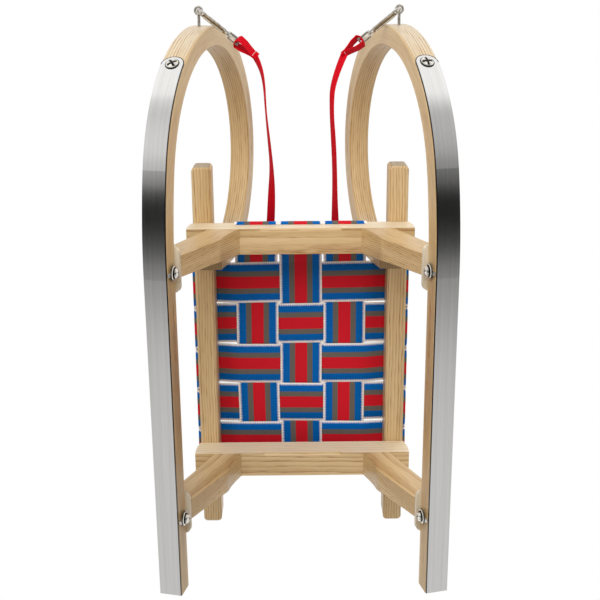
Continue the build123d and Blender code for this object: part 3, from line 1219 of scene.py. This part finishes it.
@dataclass
class WovenSeat:
    """Three lengthwise and five crosswise bands of striped webbing."""

    width: float = 52.1 * MM
    flat: float = 50.4 * MM
    wobble: float = 0.45 * MM
    hem: float = 2.6 * MM
    hem_top: float = 4.0 * MM
    pitch: float = 52.7 * MM
    column_pitch: float = 53.5 * MM
    bar_pitch: float = 51.4 * MM
    thickness: float = 1.2 * MM
    skin: float = 0.7 * MM
    weave_z: float = 0.209
    rows: int = 5
    columns: int = 3
    first_row: float = -15.9 * MM
    bar_front: float = -0.073
    bar_rear: float = 0.2375
    bar_top: float = 0.176
    bar_wrap: float = 12.0 * MM
    rail_top: float = 0.211
    rail_inner: float = 0.1032
    rail_outer: float = 0.1259
    rail_wrap: float = 24.0 * MM
    corner: float = 1.6 * MM
    long_sway: Pair = (2.3, 1.9)
    cross_sway: Pair = (1.7, 2.1)

    def level(self, row: int, column: int, way: int) -> float:
        """Height of a lengthwise (+1) or crosswise (-1) band where two bands cross."""
        over = 1 if (row + column) % 2 == 0 else -1
        return self.weave_z + way * over * self.skin

    def sway(self, phase: Pair, index: int, band: int) -> float:
        """How far a band lies off its straight line at one of its points."""
        return self.wobble * math.sin(phase[0] * index + phase[1] * band)

    def build(self) -> None:
        """Weave the seat and put each band in its node's place."""
        cloth = StripedWebbing().build("striped_webbing")
        tree = band_tree()
        edges = [self.first_row + row * self.pitch for row in range(self.rows)]
        steps = [column - (self.columns - 1) / 2 for column in range(self.columns)]
        for column in range(self.columns):
            line = self.lengthwise(column, steps[column], edges)
            self.band(tree, f"web_long_{column + 1}", line, (1.0, 0.0, 0.0), cloth)
        for row, edge in enumerate(edges):
            line = self.crosswise(row, edge, steps)
            self.band(tree, f"web_cross_{row + 1}", line, (0.0, 1.0, 0.0), cloth)

    def lengthwise(self, column: int, step: float, edges: list[float]) -> list[Vector]:
        """The line of a band from the front crossbar to the rear one.

        Args:
            column: its number.
            step: how many columns it is off the middle.
            edges: where each row begins.

        Returns:
            The line, before its corners are rounded.
        """
        front, back = self.bar_front - self.skin, self.bar_rear + self.skin
        bar_over, bar_low = self.bar_top + self.skin, self.bar_top - self.bar_wrap
        route = [(front, bar_low), (front, bar_over)]
        for row, edge in enumerate(edges):
            level = self.level(row, column, 1)
            route += [(edge, level), (edge + self.flat, level)]
        route += [(edges[-1] + self.pitch - 0.3 * MM, self.weave_z), (back, bar_over),
                  (back, bar_low)]
        line = []
        for index, (y, z) in enumerate(route):
            if z < self.weave_z - 2 * self.thickness:
                x = step * self.bar_pitch
            else:
                x = step * self.column_pitch + self.sway(self.long_sway, index, column)
            line.append(Vector((x, y, z)))
        return line

    def crosswise(self, row: int, edge: float, steps: list[float]) -> list[Vector]:
        """The line of a band from rail to rail, hemmed outside each.

        Args:
            row: its number.
            edge: where it begins.
            steps: how many columns each column is off the middle.

        Returns:
            The line, before its corners are rounded.
        """
        side, low = self.rail_outer + self.skin, self.rail_top - self.rail_wrap
        hem, over = side + self.hem, self.rail_top + self.skin
        wrap = [(side, self.rail_top - self.hem_top), (side, low), (hem, low), (hem, over),
                (self.rail_inner, over)]
        route = [(-x, z) for x, z in wrap]
        for column, step in enumerate(steps):
            level = self.level(row, column, -1)
            route += [(step * self.column_pitch + half, level)
                      for half in (-self.flat / 2, self.flat / 2)]
        route += reversed(wrap)
        middle = edge + self.flat / 2
        return [Vector((x, middle + self.sway(self.cross_sway, index, row), z))
                for index, (x, z) in enumerate(route)]

    def band(self, tree: GeometryTree, node: str, route: list[Vector], side: Point,
             cloth: Material) -> None:
        """Make one band.

        Args:
            tree: the band's geometry tree.
            node: the solid node that it stands for.
            route: its line, before the corners are rounded.
            side: the way across it.
            cloth: its finish.
        """
        path = curve_object(f"{node}_line", route)
        piece = tree.apply(path, f"{node}_woven", Width=self.width, Thickness=self.thickness,
                           Corner=self.corner, Side=side, Material=cloth, Free=True)
        register(piece, "webbing", node)


@dataclass
class PullStrap:
    """The flat red strap between the snap hooks."""

    width: float = 10.0 * MM
    loop_width: float = 9.4 * MM
    thickness: float = 1.2 * MM
    length: float = 1.0
    rib_pitch: float = 1.1 * MM
    rib_depth: float = 0.05 * MM
    lug: Point = (65.55, -278.25, 159.88)
    sewn_end: Point = (49.81, -265.98, 158.65)
    loop_lean: float = math.radians(44.0)
    seam: float = 19.5
    stitches: int = 6
    stitch_pitch: float = 1.5
    stitch_off: float = 1.75
    stitch_size: Point = (0.42 * MM, 0.42 * MM, 0.85 * MM)
    # Along and off the hook's axis, in millimetres
    loop_shape: Pairs = (
        (24.5, 0.9), (18.0, 0.9), (12.5, 2.6), (6.0, 5.2), (-2.0, 6.2), (-4.2, 2.5),
        (-4.2, -2.5), (-2.0, -6.2), (6.0, -5.2), (12.5, -2.6), (18.0, -0.9), (22.5, -0.9))
    # The line between the sewn ends, in millimetres, and its twist in degrees
    route: tuple[tuple[float, float, float, float], ...] = (
        (-49.81, -265.98, 158.65, 45), (-43.6, -256.0, 153.6, 56), (-38.9, -237.0, 148.3, 69),
        (-37.6, -206.0, 145.5, 76), (-34.6, -172.0, 152.0, 66), (-32.0, -136.0, 166.5, 60),
        (-33.6, -98.0, 188.5, 22), (-36.0, -58.0, 208.0, 8), (-41.0, -10.0, 214.0, 0),
        (-43.5, 40.0, 213.3, 0), (-40.0, 92.0, 213.6, 0), (-34.5, 140.0, 213.3, 0),
        (-20.0, 178.0, 213.6, 0), (5.0, 193.0, 213.3, 0), (29.0, 178.0, 213.6, 0),
        (41.5, 142.0, 213.3, 0), (43.0, 92.0, 213.6, 0), (45.0, 40.0, 213.3, 0),
        (43.0, -10.0, 214.0, 0), (42.0, -58.0, 208.0, -30), (40.8, -98.0, 188.5, -60),
        (39.6, -136.0, 166.5, -66), (37.6, -172.0, 152.0, -64), (35.0, -206.0, 145.5, -72),
        (36.4, -238.0, 148.5, -60), (49.81, -265.98, 158.65, -45))

    def at(self, side: Side, point: Point) -> Vector:
        """A point of the right side in millimetres, moved to a side and into metres."""
        return Vector((side.value * point[0], point[1], point[2])) * MM

    def build(self) -> None:
        red = RedStrap().build("red_strap")
        thread = Thread().build("white_thread")
        tree = band_tree()
        line = curve_object("strap_line", [Vector(point[:3]) * MM for point in self.route],
                            "NURBS", [math.radians(point[3]) for point in self.route])
        path = line_of(line)
        LOG.info("strap line %.3f m", sum((b - a).length for a, b in zip(path, path[1:])))
        piece = self.strip(tree, line, "pull_strap_woven", self.width, red, Free=False)
        register(piece, "strap", "pull_strap")
        ends = []
        for side in Side:
            ends += self.loop(tree, side, red, thread)

    def strip(self, tree: GeometryTree, line: Object, name: str, width: float,
              red: Material, **values: object) -> Object:
        """Sweep the strap along a line.

        Args:
            tree: the band's geometry tree.
            line: the curve; it is removed.
            name: the new piece's name.
            width: how wide the strap is there.
            red: the strap's finish.
            values: the tree's other inputs.

        Returns:
            The new piece.
        """
        return tree.apply(line, name, Width=width, Thickness=self.thickness,
                          Rib_Pitch=self.rib_pitch, Rib_Depth=self.rib_depth, Tooth_Depth=0.0,
                          Cuts=1, Material=red, **values)

    def loop(self, tree: GeometryTree, side: Side, red: Material,
             thread: Material) -> list[Object]:
        """The sewn loop through a hook's lug, and its stitches.

        Args:
            tree: the band's geometry tree.
            side: which hook.
            red: the strap's finish.
            thread: the stitches' finish.

        Returns:
            The loop and the stitches.
        """
        lug = self.at(side, self.lug)
        ahead = (self.at(side, self.sewn_end) - lug).normalized()
        level = ahead.cross(Vector((0.0, 0.0, 1.0))).normalized()
        lean = (level * math.cos(self.loop_lean)
                + ahead.cross(level) * math.sin(self.loop_lean)).normalized()
        flat = ahead.cross(lean).normalized()
        line = curve_object("loop_line", [lug + (ahead * run + lean * off) * MM
                                          for run, off in self.loop_shape], "NURBS")
        piece = self.strip(tree, line, f"strap_loop_{side.label}", self.loop_width, red,
                           Corner=0.1 * MM, Side=tuple(flat), Free=True)
        register(piece, "strap")
        places = []
        for step in range(self.stitches):
            off = (step - (self.stitches - 1) / 2) * self.stitch_pitch
            for face in (-self.stitch_off, self.stitch_off):
                places.append((lug + (ahead * self.seam + flat * off + lean * face) * MM, flat))
        stitch = bmesh.new()
        bmesh.ops.create_icosphere(stitch, subdivisions=1, radius=1.0)
        bmesh.ops.scale(stitch, vec=self.stitch_size, verts=stitch.verts)
        sewn = scattered(f"strap_stitches_{side.label}", mesh_object("stitch", stitch, 80.0),
                         places, 0.0, thread)
        return [piece, register(sewn, "strap")]


# Studio
@dataclass(frozen=True)
class PhotoView:
    """The photograph's camera, in the sled's frame."""

    place: Point = (-6.2 * MM, -343.85 * MM, -1007.9 * MM)
    focal_pixels: float = 1034.86
    picture: float = 600.0
    sensor: float = 36.0
    pitch: float = math.radians(17.19)
    yaw: float = math.radians(0.235)
    roll: float = math.radians(-0.492)

    def build(self) -> None:
        """Make the camera and set it."""
        data = bpy.data.cameras.new("photo_view")
        data.sensor_width = self.sensor
        data.lens = self.focal_pixels / self.picture * self.sensor
        data.clip_start, data.clip_end = 0.05, 30.0
        ahead = Vector((0.0, math.sin(self.pitch), math.cos(self.pitch)))
        up = Vector((0.0, -math.cos(self.pitch), math.sin(self.pitch)))
        right = Vector((1.0, 0.0, 0.0))
        ahead, right = (ahead * math.cos(self.yaw) + right * math.sin(self.yaw),
                        right * math.cos(self.yaw) - ahead * math.sin(self.yaw))
        right, up = (right * math.cos(self.roll) + up * math.sin(self.roll),
                     up * math.cos(self.roll) - right * math.sin(self.roll))
        turn = Matrix((right, up, -ahead)).transposed()
        camera = linked("photo_view", data)
        camera.matrix_world = Matrix.Translation(self.place) @ turn.to_4x4()
        bpy.context.scene.camera = camera


@dataclass(frozen=True)
class Softbox:
    """A square lamp that metal doesn't mirror."""

    name: str
    place: Point
    aim: Point
    size: float
    power: float

    def build(self) -> None:
        """Make the lamp."""
        data = bpy.data.lights.new(self.name, "AREA")
        data.shape = "SQUARE"
        data.size = self.size
        data.energy = self.power
        lamp = linked(self.name, data)
        lamp.location = self.place
        lamp.rotation_mode = "QUATERNION"
        lamp.rotation_quaternion = (Vector(self.aim) - Vector(self.place)).to_track_quat("-Z", "Y")
        lamp.visible_glossy = False


@dataclass(frozen=True)
class Studio:
    """A pale floor that shows only from above, a white world, soft lamps and a grey card."""

    half: float = 6.0
    floor_colour: Colour = (0.86, 0.86, 0.86)
    fill: float = 0.42
    card_height: float = -1.4
    lamps: tuple[Softbox, ...] = (
        Softbox("key", (-0.3, -1.5, -1.0), (0.0, -0.1, 0.15), 1.5, 28.5),
        Softbox("under", (0.25, -0.35, -1.6), (0.0, 0.0, 0.15), 1.8, 4.0),
        Softbox("over", (1.6, -1.6, 3.4), (0.0, 0.0, 0.15), 2.8, 68.0))
    # Lengthwise place and brightness of the card on the left and on the right
    card_left: Pairs = (
        (-5.9, 0.8), (-4.7, 0.74), (-2.9, 0.62), (-1.95, 0.7), (-1.3, 0.74),
        (-0.95, 0.7), (-0.59, 0.5), (-0.5, 0.38), (-0.43, 0.1), (-0.37, 0.0),
        (-0.1, 0.01), (0.14, 0.08), (0.44, 0.28), (0.6, 0.56), (0.9, 0.61), (5.9, 0.61))
    card_right: Pairs = (
        (-5.9, 0.9), (-4.7, 0.82), (-2.9, 0.5), (-1.95, 0.5), (-1.3, 0.46),
        (-0.95, 0.39), (-0.59, 0.24), (-0.46, 0.1), (-0.37, 0.0), (-0.1, 0.01),
        (0.14, 0.06), (0.44, 0.27), (0.66, 0.53), (0.95, 0.62), (5.9, 0.64))

    def build(self) -> None:
        """Make the floor, the card, the world and the lamps."""
        self.floor()
        self.card()
        self.world()
        for lamp in self.lamps:
            lamp.build()

    def square(self, name: str, height: float, material: Material
               ) -> Object:
        """A level square of the stage that faces up and casts no shadow.

        Args:
            name: the object's name.
            height: its height.
            material: its finish.

        Returns:
            The object.
        """
        data = bpy.data.meshes.new(name)
        corners = [(x * self.half, y * self.half, height)
                   for x, y in ((-1, -1), (1, -1), (1, 1), (-1, 1))]
        data.from_pydata(corners, [], [(0, 1, 2, 3)])
        data.materials.append(material)
        piece = linked(name, data)
        piece.visible_shadow = False
        return piece

    def card(self) -> None:
        """Make the card that only bare metal mirrors: white, then dark, then grey rearwards."""
        graph = Finish("studio_card")
        x, y, _ = graph.split(graph.place())
        share = (y + self.half) / (2 * self.half)
        ramps = [graph.ramp(share, [((place + self.half) / (2 * self.half), level)
                                    for place, level in stops])
                 for stops in (self.card_left, self.card_right)]
        colour = graph.mix((x * 0.5 + 0.5).clamped(), *ramps)
        material = graph.output(graph.get("ShaderNodeEmission", {0: colour}))
        card = self.square("studio_card", self.card_height, material)
        card.visible_camera = False
        card.visible_diffuse = False
        card.visible_transmission = False

    def floor(self) -> None:
        """Make the floor; from below it isn't there."""
        graph = Finish("pale_floor")
        graph.surface({"Base Color": self.floor_colour, "Roughness": 0.9})
        below = graph.get("ShaderNodeNewGeometry", out="Backfacing")
        material = graph.output(graph.get("ShaderNodeMixShader", {
            0: below, 1: Number(graph, graph.shader.outputs[0]),
            2: graph.get("ShaderNodeBsdfTransparent")}))
        self.square("floor", 0.0, material).visible_glossy = False

    def world(self) -> None:
        """White where the camera, gloss or glass looks, and a plain level for the rest."""
        world = bpy.data.worlds.new("studio")
        bpy.context.scene.world = world
        world.use_nodes = True
        graph = Graph(world.node_tree)
        outputs = graph.node("ShaderNodeLightPath").outputs
        camera, glossy, clear = (Number(graph, outputs[f"Is {kind} Ray"])
                                 for kind in ("Camera", "Glossy", "Transmission"))
        seen = graph.math("MAXIMUM", camera, graph.math("MAXIMUM", glossy, clear))
        graph.fill(world.node_tree.nodes["Background"],
                   {"Color": (1.0, 1.0, 1.0), "Strength": seen.pick(self.fill, 1.0)})


def main() -> None:
    """Load the frame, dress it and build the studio."""
    logging.basicConfig(level=logging.INFO, format="%(name)s %(message)s")
    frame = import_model()
    bpy.context.scene.view_settings.view_transform = "Standard"
    PhotoView().build()
    PullStrap().build()
    WoodFrame().dress(frame)
    Ironwork().dress(frame)
    WovenSeat().build()
    Studio().build()


if __name__ == "__main__":
    main()
